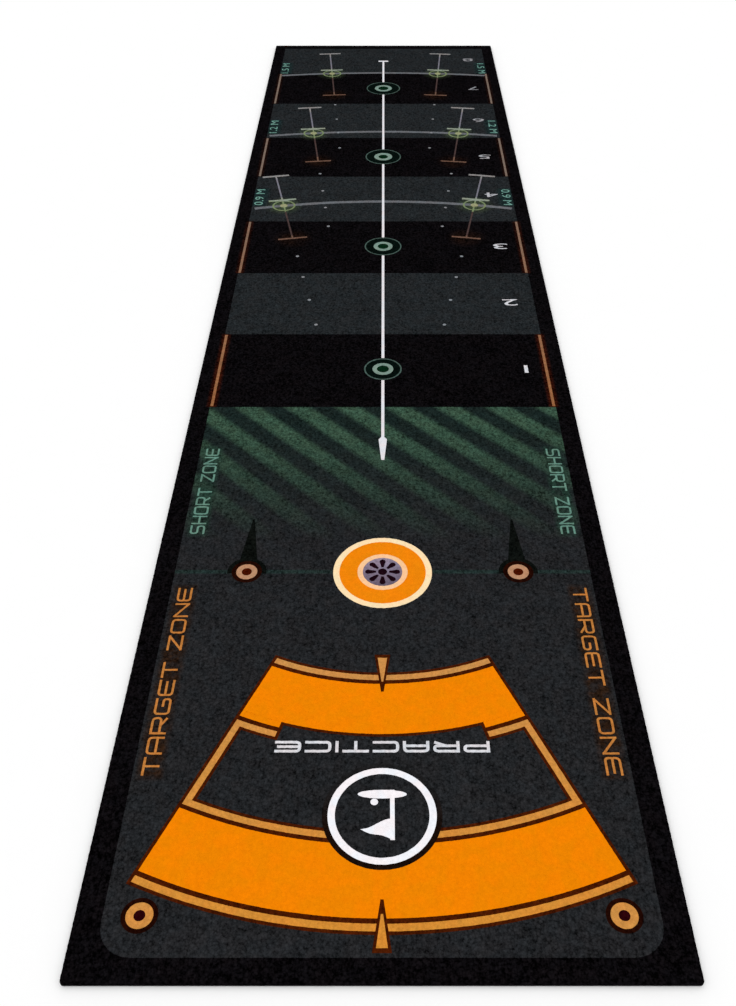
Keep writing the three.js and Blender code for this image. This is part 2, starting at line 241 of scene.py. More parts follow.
ARC_LABEL_GLOW = (8 * MM, 20 * MM)
ARC_LABEL_STAIN = "#192d2d"
ARC_LABEL_AMOUNT = 0.7
AMBERS = ("#d48b33", "#c98d4b")  # from the near end of the fan to its far end
HALO_FADE = (135 * MM, 175 * MM)
HALO_DYES = ("#1a0f0a", "#1f1f20")  # the halo fades into the slate
LILACS_PAINTED_SHADE = ("#665b6c", "#908397")  # from the near side of the cup to its far side: painted shade, darker on the near side as if lit from the far end
NUMBER_COLOURS = ("#dcdbdf", "#8e8d91")  # from the second band to the seventh
GATE_GLOW = (4 * MM, 38 * MM)
GATE_AMOUNT = 0.8
GATE_BLOTCHES = 45.0
GATE_BLOTCH = (0.3, 0.6, 0.45, 1.0)
GATE_GREEN = "#47553b"
GATE_BROWN = "#20120b"
GATE_NEAR_BAR = "#6e5244"
# Where each colour of a gate starts, from its ring's middle. The last is its far bar's.
GATE_DYES = (
    (-112 * MM, "#4a3a38"),
    (-24 * MM, "#76855f"),
    (16 * MM, "#8d9686"),
    (30 * MM, "#77757f"),
    (108 * MM, "#8b8887"),
)

COOL = (0.97, 1.01, 1.03)
WARM = (1.03, 0.99, 0.98)
TUFT_CELLS = 420.0  # cells and waves in a metre
FIBRES = 900.0
ROWS = 500.0
ROW_STRETCH = 0.16
CLUMPS = 300.0
CLUMP_STRETCH = 0.8
PATCHES = 24.0
TINTS = 70.0
NOISE_ROUGHNESS = 0.6
MOTTLING = (0.9, 2.4, 1.2, 3.2, 0.8)  # how much tufts, fibres, rows, clumps and patches count
GAP_PAINTED_SHADE = (0.25, 0.75, 0.12, -0.5)  # painted shade in the gaps between tufts: from a tuft's middle to the gap round it
GAP_DEPTH = 0.8
DARKEST = 0.12
TINT_EDGES = (0.35, 0.65)
NYLON_ROUGHNESS = (0.3, 0.7, 0.86, 0.98)
NYLON_DEPTH = 0.35 * MM
NYLON_SPECULAR = 0.0
THREAD_COLOURS = ("#161618", "#3a3a3d")
THREADS = 700.0
THREAD_DISTORTION = 0.6
THREAD_ROUGHNESS = (0, 1, 0.95, 0.8)
THREAD_DEPTH = 0.1 * MM
THREAD_SPECULAR = 0.2
RUBBER_EDGE = ((0.5 * MM, 0.0), (0.15 * MM, 0.12 * MM), (0.0, 0.45 * MM))  # inset and height
RUBBER_SHARP = math.radians(30)
RUBBER_COLOURS = ("#0e0e10", "#1f1f22")
RUBBER_GRAIN = 1500.0
RUBBER_BLOOM = 9.0
RUBBER_ROUGHNESS = (0.3, 0.7, 0.55, 0.8)
RUBBER_DEPTH = 0.05 * MM
RUBBER_SPECULAR = 0.4

LENS = 37.52
SHIFT_X = -0.0161
CAMERA_PLACE = (1.8 * MM, -HALF_LENGTH - 363 * MM, 818.7 * MM)
CAMERA_TILT = math.radians(48.665)
WORLD_STRENGTH = 0.94
KEY_STRENGTH = 0.42
KEY_SPREAD = math.radians(50)
KEY_TURN = (math.radians(28), math.radians(-24), 0)
FLOOR_HALF = 200.0
FLOOR_Z = -0.2 * MM
FLOOR_COLOUR = (0.96, 0.96, 0.96)
FLOOR_DARKER = 0.99
FLOOR_GRAIN = 30.0
FLOOR_DEPTH = 0.05 * MM
FLOOR_ROUGHNESS = 0.9


# ---- Outlines: arrays of points, counter-clockwise ----
def rectangle(x0, y0, x1, y1, radii=(0, 0, 0, 0)):
    """Corners follow in the order near left, near right, far right, far left."""
    corners = ((x0, y0, 1, 1), (x1, y0, -1, 1), (x1, y1, -1, -1), (x0, y1, 1, -1))
    points = []
    for turn, ((x, y, dx, dy), radius) in enumerate(zip(corners, radii)):
        for step in range(ARC_POINTS if radius else 1):
            angle = math.pi * (1 + turn / 2) + math.pi / 2 * step / (ARC_POINTS - 1)
            points.append((x + radius * (dx + math.cos(angle)), y + radius * (dy + math.sin(angle))))
    return np.array(points)


def mat_outline(inset=0.0):
    x, y = HALF_WIDTH - inset, HALF_LENGTH - inset
    return rectangle(-x, -y, x, y, [MAT_CORNER - inset] * 4)


def circle(x, y, radius):
    count = max(LEAST_POINTS, round(2 * math.pi * radius / CIRCLE_STEP))
    angles = np.arange(count) * 2 * math.pi / count
    return np.stack([x + radius * np.cos(angles), y + radius * np.sin(angles)], -1)


def taper(x, y0, half0, y1, half1):
    """A bar along Y whose half width changes from one end to the other."""
    return np.array([(x - half0, y0), (x + half0, y0), (x + half1, y1), (x - half1, y1)])


def turned(points, middle, angle):
    c, s = math.cos(angle), math.sin(angle)
    return (points - middle) @ np.array([[c, s], [-s, c]]) + middle


def bar(start, end, half):
    """A straight bar between two points."""
    start, end = np.array(start), np.array(end)
    along = (end - start) / np.linalg.norm(end - start)
    side = half * np.array([along[1], -along[0]])
    return np.array([start - side, start + side, end + side, end - side])


def sector(y, inner, outer, start, end, facing=-1):
    """Part of a ring round (0, y). Angle 0 faces the near end, or the far end where facing is 1."""
    angles = np.linspace(start, end, 1 + math.ceil((end - start) * outer / CIRCLE_STEP))
    ray = np.stack([np.sin(angles), facing * np.cos(angles)], -1)
    return np.array([0, y]) + np.concatenate([outer * ray, inner * ray[::-1]])


def mirrored(outline):
    return (outline * (-1, 1))[::-1]


def grown(outline, distance):
    """The same outline with every side moved out by a distance."""
    along = np.roll(outline, -1, 0) - outline
    along /= np.linalg.norm(along, axis=1, keepdims=True)
    out = np.stack([along[:, 1], -along[:, 0]], -1)
    both = out + np.roll(out, 1, 0)
    return outline + 2 * distance * both / (both**2).sum(1, keepdims=True)


def clipped(outline, half_width):
    """An outline cut off at both sides of a strip along the mat."""
    for sign in (1, -1):
        kept = []
        for here, after in zip(outline, np.roll(outline, -1, 0)):
            if sign * here[0] <= half_width:
                kept.append(here)
            if (sign * here[0] <= half_width) != (sign * after[0] <= half_width):
                share = (sign * half_width - here[0]) / (after[0] - here[0])
                kept.append(here + share * (after - here))
        outline = np.array(kept).reshape(-1, 2)
    return outline


def disc(node):
    """Middle and radius of a round CAD area."""
    low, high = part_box(node)
    return (low.x + high.x) / 2, (low.y + high.y) / 2, (high.x - low.x) / 2


def loops_of(points, edges):
    """The closed outlines that a set of edges makes."""
    beside = {}
    for a, b in edges:
        beside.setdefault(a, []).append(b)
        beside.setdefault(b, []).append(a)
    loops = []
    while beside:
        here = next(iter(beside))
        loop = []
        while here in beside:
            loop.append(points[here])
            around = beside.pop(here)
            here = next((n for n in around if n in beside), None)
        loops.append(np.array(loop))
    return loops


def placed(name, data):
    """An object in the scene that shows some data."""
    made = bpy.data.objects.new(name, data)
    bpy.context.scene.collection.objects.link(made)
    return made


def lettering(text, middle, size, angle, bold=0.0):
    """Outlines of plain lettering of a width and height, turned about its middle."""
    curve = bpy.data.curves.new("lettering", "FONT")
    curve.body = text
    curve.offset = bold
    curve.fill_mode = "NONE"
    curve.resolution_u = LETTER_STEPS
    holder = placed("lettering", curve)
    drawn = holder.evaluated_get(bpy.context.evaluated_depsgraph_get())
    mesh = drawn.to_mesh()
    points = np.array([v.co[:2] for v in mesh.vertices])
    edges = [tuple(e.vertices) for e in mesh.edges]
    drawn.to_mesh_clear()
    bpy.data.objects.remove(holder)
    bpy.data.curves.remove(curve)
    low, high = points.min(0), points.max(0)
    points = (points - (low + high) / 2) * np.array(size) / (high - low) + middle
    return loops_of(turned(points, np.array(middle), angle), edges)


# ---- The pattern: areas in the order they are dyed, each over the one before ----
dyed = []


def dye(piece, *loops):
    """Gives a piece what lies inside the loops, which make holes in each other."""
    dyed.append((piece, [loop for loop in loops if len(loop)]))


def dye_pile():
    dye("border_pile", mat_outline())
    radii = (FIELD_CORNER, FIELD_CORNER, 0, 0)
    dye("field_pile", rectangle(-INNER_X, INNER_NEAR, INNER_X, BAND_START, radii))
    for n in range(BANDS):
        dye(f"band_{n + 1}_pile", rectangle(-INNER_X, BAND_EDGES[n], INNER_X, BAND_EDGES[n + 1]))


def dye_stripes():
    travel = (BAND_START - STRIPE_NEAR) * STRIPE_SLOPE
    for n in range(STRIPES):
        left = STRIPE_PHASE + (FIRST_STRIPE + n) * STRIPE_PITCH - STRIPE_WIDTH / 2
        right = left + STRIPE_WIDTH
        far = [(right, BAND_START), (left, BAND_START)]
        near = [(left + travel, STRIPE_NEAR), (right + travel, STRIPE_NEAR)]
        dye(f"green_stripe_{n + 1}", clipped(np.array(near + far), INNER_X))


def dye_target():
    for node in ("target_outer_ring", "target_orange_ring", "target_inner_ring", "target_cup"):
        dye(node, circle(0, TARGET_Y, disc(node)[2]))
    dye("target_shade", circle(0, TARGET_Y, CUP_HOLE))
    for n in range(CUP_SLOTS):
        angle = 2 * math.pi * n / CUP_SLOTS
        slot = taper(0, TARGET_Y + SLOT_FROM, SLOT_HALF * SLOT_TAPER, TARGET_Y + SLOT_TO, SLOT_HALF)
        dye("target_shade", turned(slot, (0, TARGET_Y), angle))
        end = circle(0, TARGET_Y + SLOT_TO, SLOT_HALF)
        dye("target_shade", turned(end, (0, TARGET_Y), angle))


def dye_ring(name, hole):
    """A small ring, with a dark shape round it and a dark hole."""
    x, y, radius = disc(f"{name}_ring")
    dye(f"{name}_shade", circle(x, y, disc(f"{name}_shade")[2]))
    dye(f"{name}_ring", circle(x, y, radius))
    dye(f"{name}_hole", circle(x, y, hole))


def dye_small_rings():
    for side in ("left", "right"):
        x, y, _ = disc(f"{side}_aim_ring")
        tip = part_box(f"{side}_aim_shade")[1].y
        dye(f"{side}_aim_spike", taper(x, y, SPIKE_HALF, tip, POINTER_TIP_HALF))
        collar = sector(y, MM, COLLAR, -COLLAR_TURN, COLLAR_TURN, facing=1)
        dye(f"{side}_aim_spike", collar[::-1] + (x, 0))
        dye_ring(f"{side}_aim", AIM_HOLE)
        dye_ring(f"{side}_corner", CORNER_HOLE)


def fan_radii(node):
    """Inner and outer radius of an arc of the fan, from the corners of its box."""
    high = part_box(node)[1]
    return (FAN_POINT - high.y) / math.cos(FAN_HALF), high.x / math.sin(FAN_HALF)


def fan_arc(inner, outer, start=-FAN_HALF, end=FAN_HALF):
    """Part of a ring round the point where the fan's sides would meet."""
    return sector(FAN_POINT, inner, outer, start, end)


def fan_frame(far, near):
    """The frame's right side: a straight bar and two arcs."""
    corners = []
    for radius, inset in ((near, FRAME_WIDTH), (near, 0), (far, 0), (far, FRAME_WIDTH)):
        angle = FAN_HALF - math.asin(inset / radius)
        corners.append((radius * math.sin(angle), FAN_POINT - radius * math.cos(angle)))
    far_arc = fan_arc(far, far + FRAME_WIDTH, STEP_ANGLE)
    return np.array(corners), far_arc, fan_arc(near - FRAME_WIDTH, near, 0)


def pointer(node, base, tip):
    """A long pointer and the dark shape that shows round it."""
    half = (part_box(node)[1].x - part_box(node)[0].x) / 2
    way = math.copysign(1, tip - base)
    dark_base = base - way * POINTER_SHADE_PAST[0]
    dark_tip = tip + way * POINTER_SHADE_PAST[1]
    dye("fan_outline", taper(0, dark_base, POINTER_SHADE[0], dark_tip, POINTER_SHADE[1]))
    dye(node, taper(0, base, half, tip, POINTER_TIP_HALF))


def dye_fan():
    far_line, far_band = fan_radii("fan_far_line"), fan_radii("fan_far_band")
    near_band, near_line = fan_radii("fan_near_band"), fan_radii("fan_near_line")
    frame_far, frame_near = fan_radii("fan_frame_right")
    right_bar, far_arc, near_arc = fan_frame(frame_far, frame_near)
    step = fan_arc(FAR_BAND_MIDDLE, far_band[1], STEP_ANGLE)
    side = fan_arc(FAR_BAND_MIDDLE, frame_far + FRAME_WIDTH, STEP_ANGLE)
    far_block = fan_arc(far_line[0], FAR_BAND_MIDDLE)
    near_block = fan_arc(frame_near - FRAME_WIDTH, near_line[1])
    for block in (far_block, side, mirrored(side), right_bar, mirrored(right_bar), near_block):
        dye("fan_outline", grown(block, FAN_SHADE))
    dye("fan_far_line", fan_arc(*far_line))
    dye("fan_far_band", fan_arc(far_band[0], FAR_BAND_MIDDLE))
    dye("fan_far_band", step)
    dye("fan_far_band", mirrored(step))
    for part in (right_bar, far_arc, near_arc):
        dye("fan_frame_right", part)
        dye("fan_frame_left", mirrored(part))
    dye("fan_near_band", fan_arc(*near_band))
    dye("fan_near_line", fan_arc(*near_line))
    far_low, far_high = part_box("fan_far_pointer")
    near_low, near_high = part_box("fan_near_pointer")
    pointer("fan_far_pointer", far_high.y, far_low.y)
    pointer("fan_near_pointer", near_low.y, near_high.y)


def dye_emblem():
    """A ring with a plain golf flag, read from the far end."""
    _, y, radius = disc("emblem_ring")
    dye("emblem_halo", circle(0, y, EMBLEM_HALO))
    dye("emblem_ring", circle(0, y, radius))
    dye("field_pile", circle(0, y, EMBLEM_HOLE))
    low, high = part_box("emblem_flag")
    dye("emblem_flag", rectangle(POLE_X - POLE_HALF, low.y, POLE_X + POLE_HALF, high.y))
    share = np.linspace(0, 1, PENNANT_STEPS)
    wave = PENNANT_WAVE * np.sin(share * 2 * math.pi)
    x = POLE_X - PENNANT_LENGTH * share
    top = low.y + PENNANT_DEPTH / 2 * share + wave
    foot = low.y + PENNANT_DEPTH * (1 - share / 2) + wave
    dye("emblem_flag", np.concatenate([np.stack([x, foot], -1), np.stack([x, top], -1)[::-1]]))
    green = circle(0, 0, GREEN_HALF) * ((high.x - low.x) / 2 / GREEN_HALF, 1)
    dye("emblem_flag", green + (0, high.y - GREEN_HALF))
    dye("emblem_flag", circle(BALL_X, high.y - 2 * GREEN_HALF - BALL_RADIUS, BALL_RADIUS))


def dye_centre_line():
    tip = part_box("centre_line_1")[0].y
    shoulder_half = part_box("centre_line_1")[1].x
    parts = BANDS // 2 + 1
    for n in range(1, parts + 1):
        low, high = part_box(f"centre_line_{n}")
        start = tip + ARROW_NECK if n == 1 else low.y
        dye(f"centre_line_{n}", rectangle(-LINE_HALF, start, LINE_HALF, high.y))
    shoulder = tip + ARROW_SHOULDER
    dye("centre_line_1", taper(0, tip, ARROW_TIP_HALF, shoulder, shoulder_half))
    dye("centre_line_1", taper(0, shoulder, shoulder_half, tip + ARROW_NECK, LINE_HALF))
    low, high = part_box(f"centre_line_{parts}")
    dye(f"centre_line_{parts}", rectangle(low.x, high.y - TEE_DEPTH, high.x, high.y))


def dye_distance_rings():
    for n, hole, circled in zip(range(1, BANDS, 2), SPOT_HOLES, SPOT_CIRCLES):
        _, y, radius = disc(f"distance_ring_{n}")
        dye(f"distance_circle_{n}", circle(0, y, circled + SPOT_CIRCLE_HALF))
        dye(f"distance_shade_{n}", circle(0, y, circled - SPOT_CIRCLE_HALF))
        dye(f"distance_ring_{n}", circle(0, y, radius))
        dye(f"distance_hole_{n}", circle(0, y, hole))


def dye_arcs():
    for n, radius in enumerate(ARCS, 1):
        reach = math.asin(ARC_REACH / radius)
        band = sector(TARGET_Y, radius - ARC_HALF, radius + ARC_HALF, -reach, reach, facing=1)
        dye(f"distance_arc_{n}", band)


def gate_point(slope, distance):
    """A point on the line of a gate, so far from the target."""
    angle = math.atan(slope)
    return np.array([distance * math.sin(angle), TARGET_Y + distance * math.cos(angle)])


def dye_gates():
    """Marks across each arc, in line with the target: a stem with three bars, and a ring."""
    for n, (radius, slopes, reach) in enumerate(zip(ARCS, GATE_SLOPES, GATE_REACH), 1):
        for side, slope in zip(("left", "right"), slopes):
            name = f"{side}_gate_{n}"
            cross = np.array([1, -slope]) / math.hypot(1, slope) * GATE_BAR
            ends = [gate_point(slope, radius + way * reach) for way in (-1, 1)]
            dye(name, bar(*ends, GATE_STEM / 2))
            distances = (radius - reach, radius + GATE_CROSSBAR, radius + reach)
            for distance, thick in zip(distances, GATE_BAR_THICK):
                middle = gate_point(slope, distance)
                dye(name, bar(middle - cross, middle + cross, thick / 2))
            x, y = gate_point(slope, radius)
            dye(name, circle(x, y, GATE_RING[1]), circle(x, y, GATE_RING[0]))
            dye(f"{side}_gate_dots", circle(x, y, GATE_DOT))


def dye_dots():
    for row, slopes in zip(DOT_ROWS, GATE_SLOPES):
        for place in row:
            y = place * MM - HALF_LENGTH
            for slope in slopes:
                dye("putt_dots", circle(slope * (y - TARGET_Y), y, DOT_RADIUS))


def dye_lines_and_numbers():
    for n in range(0, BANDS, 2):
        for sign in (-1, 1):
            x = sign * SIDE_LINE_X
            near, far = BAND_EDGES[n] + SIDE_LINE_HALF, BAND_EDGES[n + 1] - SIDE_LINE_HALF
            dye("side_lines", rectangle(x - SIDE_LINE_HALF, near, x + SIDE_LINE_HALF, far))
    for n in range(BANDS):
        x, width = DIGIT_ONE if n == 0 else (DIGIT_X, DIGIT_SIZE[0])
        y = BAND_START + (n + 0.5) * BAND_PITCH + (DIGIT_FOUR_AHEAD if n == 3 else 0)
        dye("band_numbers", *lettering(str(n + 1), (x, y), (width, DIGIT_SIZE[1]), math.pi))


def arc_word_middle(radius):
    return TARGET_Y + math.sqrt(radius**2 - ARC_REACH**2) + ARC_WORD_AHEAD


def stroke(path, half):
    """The outline of a line along a path, with square ends past the path's own."""
    along = np.diff(path, axis=0)
    along /= np.linalg.norm(along, axis=1, keepdims=True)
    path = np.concatenate([path[:1] - half * along[:1], path[1:-1], path[-1:] + half * along[-1:]])
    out = np.stack([along[:, 1], -along[:, 0]], -1)
    both = np.concatenate([out[:1], out]) + np.concatenate([out, out[-1:]])
    shift = 2 * half * both / (both**2).sum(1, keepdims=True)
    return np.concatenate([path + shift, (path - shift)[::-1]])


def softened(path):
    """A path with its corners rounded."""
    points = [path[0]]
    for before, corner, after in zip(path, path[1:], path[2:]):
        ends = []
        for other in (before, after):
            away = np.linalg.norm(other - corner)
            ends.append(corner + (other - corner) * min(LETTER_ROUND / away, LETTER_REACH))
        for share in np.linspace(0, 1, LETTER_STEPS + 1):
            first = ends[0] + (corner - ends[0]) * share
            second = corner + (ends[1] - corner) * share
            points.append(first + (second - first) * share)
    return np.array([*points, path[-1]])


def dye_word(piece, text, middle, size, angle, half):
    """A word in square letters, one stroke at a time."""
    wide = [LETTER_WIDTHS.get(letter, 1) for letter in text]
    unit = size[0] / (sum(wide) + LETTER_GAP * (len(text) - 1))
    corner = np.array(middle) - np.array(size) / 2 + half
    for letter, share in zip(text, wide):
        box = np.array([share * unit, size[1]]) - 2 * half
        for path in LETTERS.get(letter, ()):
            line = stroke(softened(corner + np.array(path) * box), half)
            dye(piece, turned(line, np.array(middle), angle))
        corner = corner + ((share + LETTER_GAP) * unit, 0)


def dye_labels():
    """Generic words along both sides, with their tops outwards."""
    for piece, text, (near, far), height in SIDE_WORDS:
        middle = (near + far) / 2 - HALF_LENGTH
        for side, sign in SIDES:
            place = (sign * LABEL_X, middle)
            size = (far - near, height)
            dye_word(f"{side}_{piece}", text, place, size, -sign * math.pi / 2, WORD_STROKE)
    for radius, text in zip(ARCS, ARC_WORDS):
        middle = arc_word_middle(radius)
        for side, sign in SIDES:
            place = (sign * ARC_WORD_X, middle)
            loops = lettering(text, place, ARC_WORD_SIZE, -sign * math.pi / 2, LABEL_BOLD)
            dye(f"{side}_arc_labels", *loops)
    place = (0, HEADING_Y - HALF_LENGTH)
    dye_word("practice_label", "PRACTICE", place, HEADING_SIZE, math.pi, HEADING_STROKE)


# ---- Tufts ----
def speckle(points, seed):
    """A number from -1 to 1 for each place, with no pattern from one place to the next."""
    cells = np.round(points * SPECKLE_CELLS)
    return np.modf(np.sin(cells @ SPECKLE_TURN + seed) * SPECKLE_SCALE)[0]


def swell(points):
    """Slow waves in the pile, from -1 to 1."""
    x, y = points.T
    waves = [np.sin(across * x + along * y + start) for across, along, start in SWELL_WAVES]
    return sum(waves) / len(waves)


def edge_distance(points):
    """How far each point lies inside the mat's outline."""
    past = np.abs(points) - (MAT_HALF - MAT_CORNER)
    outer = np.linalg.norm(np.maximum(past, 0), axis=1)
    return MAT_CORNER - outer - np.minimum(past.max(1), 0)


def pile_height(points):
    depth = EDGE_ROUND - np.clip(edge_distance(points), 0, EDGE_ROUND)
    rounding = EDGE_ROUND - np.sqrt(EDGE_ROUND**2 - depth**2)
    rise = TUFT_RISE * speckle(points, RISE_SEED) + SWELL * swell(points)
    return PILE_TOP - TUFT_RISE - rounding + rise


def stepped(loop):
    """A loop with every side cut into steps no longer than a tuft."""
    parts = []
    for start, end in zip(loop, np.roll(loop, -1, 0)):
        count = max(1, math.ceil(np.linalg.norm(end - start) / TUFT))
        parts.append(start + (end - start) * np.arange(count)[:, None] / count)
    return np.concatenate(parts)


def outline_points(loops):
    """The loops' points, and the edges that join them."""
    points, edges, count = [], [], 0
    for loop in loops:
        dense = stepped(loop)
        numbers = np.arange(len(dense)) + count
        points.append(dense)
        edges.append(np.stack([numbers, np.roll(numbers, -1)], -1))
        count += len(dense)
    return np.concatenate(points), np.concatenate(edges)


def tuft_points(outlines):
    """Tufts in rows, a little out of line, leaving out the places that an outline runs through."""
    corner = -MAT_HALF
    counts = np.ceil(2 * MAT_HALF / TUFT - NEAR_ZERO).astype(int)
    free = np.ones(counts, bool)
    cells = np.clip(((outlines - corner) / TUFT).astype(int), 0, counts - 1)
    free[cells[:, 0], cells[:, 1]] = False
    where = np.stack(np.nonzero(free), -1)
    rng = np.random.default_rng(SEED)
    stray = rng.uniform(-TUFT_JITTER, TUFT_JITTER, where.shape)
    return corner + (where + 0.5 + stray) * TUFT


def triangulate(points, edges):
    made = delaunay_2d_cdt([Vector(p) for p in points.tolist()], edges.tolist(), [], 0, MERGED, False)
    return np.array([tuple(p) for p in made[0]]), np.array(made[2])


def sides_of(loops):
    return np.concatenate([np.stack([loop, np.roll(loop, -1, 0)], 1) for loop in loops])


def inside(points, sides):
    """Whether each point lies inside the sides, where areas inside areas are holes."""
    x, y = points.T
    odd = np.zeros(len(points), bool)
    for (x0, y0), (x1, y1) in sides:
        if y0 != y1:
            crosses = (y0 <= y) != (y1 <= y)
            odd ^= crosses & (x < x0 + (y - y0) * (x1 - x0) / (y1 - y0))
    return odd


def owners(middles):
    """The number of the piece that each place belongs to, or -1 outside the mat."""
    names = list(dict.fromkeys(piece for piece, _ in dyed))
    owner = np.full(len(middles), -1)
    for piece, loops in dyed:
        every = np.concatenate(loops)
        near = np.flatnonzero(((middles > every.min(0)) & (middles < every.max(0))).all(1))
        owner[near[inside(middles[near], sides_of(loops))]] = names.index(piece)
    return names, owner


def rim_of(triangles):
    """The edges that only one of the triangles has, in the direction it runs round them."""
    edges = np.concatenate([triangles[:, [0, 1]], triangles[:, [1, 2]], triangles[:, [2, 0]]])
    base = triangles.max() + 1
    ahead = edges[:, 0] * base + edges[:, 1]
    back = edges[:, 1] * base + edges[:, 0]
    return edges[~np.isin(ahead, back)]


def splay(points):
    """How far the wall leans out at the mat's cut edge."""
    out = np.where(np.abs(points) > MAT_HALF - NEAR_ZERO, np.sign(points), 0)
    return out * SPLAY * (0.5 + 0.5 * speckle(points, SPLAY_SEED))[:, None]


def floor_triangles(points, rim):
    """The flat underside of a piece, from its rim alone."""
    corners, triangles = triangulate(points, rim)
    middles = corners[triangles].mean(1)
    return triangles[inside(middles, points[rim])][:, ::-1]


def smooth_piece(name, points, faces, sharp):
    """A smooth object, apart from the edges that turn by more than an angle."""
    mesh = bpy.data.meshes.new(name)
    mesh.from_pydata(points, [], faces)
    mesh.shade_smooth()
    mesh.set_sharp_from_angle(angle=sharp)
    return placed(name, mesh)


def pile_piece(name, flat, heights, triangles):
    """A closed piece of pile: the tops of its tufts, a wall round them and a flat underside."""
    used, top = np.unique(triangles, return_inverse=True)
    top = top.reshape(-1, 3)
    points = np.column_stack([flat[used], heights[used]])
    rim_ids, rim = np.unique(rim_of(top), return_inverse=True)
    rim = rim.reshape(-1, 2)
    edge = points[rim_ids]
    middle = np.column_stack([edge[:, :2] + splay(edge[:, :2]), (edge[:, 2] + PILE_BASE) / 2])
    foot = np.column_stack([edge[:, :2], np.full(len(edge), PILE_BASE)])
    below = len(points) + np.arange(len(edge))
    rings = (rim_ids, below, below + len(edge))
    faces = [top]
    for upper, lower in zip(rings, rings[1:]):
        a, b = rim.T
        faces.append(np.column_stack([upper[b], upper[a], lower[a]]))
        faces.append(np.column_stack([upper[b], lower[a], lower[b]]))
    faces.append(rings[2][floor_triangles(edge[:, :2], rim)])
    return smooth_piece(name, np.concatenate([points, middle, foot]), np.concatenate(faces), SHARP)


def pile_pieces():
    """Every dyed area of the pile as a piece, by name."""
    edge_rings = [mat_outline(inset) for inset in EDGE_RINGS]
    outlines, edges = outline_points([loop for _, loops in dyed for loop in loops] + edge_rings)
    tufts = tuft_points(outlines)
    flat, triangles = triangulate(np.concatenate([outlines, tufts]), edges)
    names, owner = owners(flat[triangles].mean(1))
    heights = pile_height(flat)
    return {
        name: pile_piece(f"{name}_tufts", flat, heights, triangles[owner == n])
        for n, name in enumerate(names)
    }


# ---- Materials ----
def linear(code):
    """Linear red, green and blue of a hex colour."""
    parts = [int(code[i : i + 2], 16) / 255 for i in (1, 3, 5)]
    return [p / 12.92 if p <= 0.04045 else ((p + 0.055) / 1.055) ** 2.4 for p in parts]


class Shader:
    """One material's nodes, added in short calls. Values are sockets, hex colours or constants."""

    def __init__(self, name):
        self.material = bpy.data.materials.new(name)
        self.material.use_nodes = True
        self.tree = self.material.node_tree
        self.tree.nodes.clear()
        self.place = self.add("TexCoord").outputs["Object"]

    def add(self, kind, inputs=(), **settings):
        node = self.tree.nodes.new("ShaderNode" + kind)
        for key, value in settings.items():
            setattr(node, key, value)
        for key, value in dict(inputs).items():
            self.join(value, node.inputs[key])
        return node

    def join(self, value, socket):
        if isinstance(value, str):
            value = linear(value)
        if isinstance(value, bpy.types.NodeSocket):
            self.tree.links.new(value, socket)
        elif socket.type == "RGBA":
            socket.default_value = [*value, 1]
        else:
            socket.default_value = value

    def maths(self, operation, *values):
        return self.add("Math", enumerate(values), operation=operation).outputs[0]

    def times(self, value, *others):
        for other in others:
            value = self.maths("MULTIPLY", value, other)
        return value

    def away(self, value, middle):
        """How far a value lies from a middle one."""
        return self.maths("ABSOLUTE", self.maths("SUBTRACT", value, middle))

    def ramp(self, value, start, end, low=0.0, high=1.0, kind="SMOOTHSTEP"):
        """From low at start to high at end."""
        inputs = {"Value": value, "From Min": start, "From Max": end, "To Min": low, "To Max": high}
        return self.add("MapRange", inputs, interpolation_type=kind).outputs[0]

    def mix(self, factor, a, b, blend="MIX"):
        inputs = {0: factor, 6: a, 7: b}
        return self.add("Mix", inputs, data_type="RGBA", blend_type=blend).outputs[2]

    def noise(self, scale, detail=2.0, stretch=None):
        """Noise about 0.5, with a scale in cycles per metre."""
        place = self.place
        if stretch:
            place = self.add("Mapping", {"Vector": place, "Scale": stretch}).outputs[0]
        inputs = {"Vector": place, "Scale": scale, "Detail": detail, "Roughness": NOISE_ROUGHNESS}
        return self.add("TexNoise", inputs).outputs["Fac"]

    def cells(self, scale):
        """Cells about a tuft wide: the distance from each one's middle, and a number for each."""
        node = self.add("TexVoronoi", {"Vector": self.place, "Scale": scale})
        return node.outputs["Distance"], self.add("SeparateColor", {0: node.outputs["Color"]}).outputs[0]

    def surface(self, colour, roughness, height, depth, specular):
        normal = self.add("Bump", {"Height": height, "Distance": depth, "Strength": 1.0}).outputs[0]
        inputs = {"Base Color": colour, "Roughness": roughness, "Normal": normal}
        inputs["Specular IOR Level"] = specular
        shader = self.add("BsdfPrincipled", inputs)
        self.add("OutputMaterial", {"Surface": shader.outputs[0]})
        return self.material


def flat_place(shader):
    """X and Y as sockets, with Y measured from the near end."""
    parts = shader.add("SeparateXYZ", {0: shader.place})
    return parts.outputs[0], shader.maths("ADD", parts.outputs[1], HALF_LENGTH)


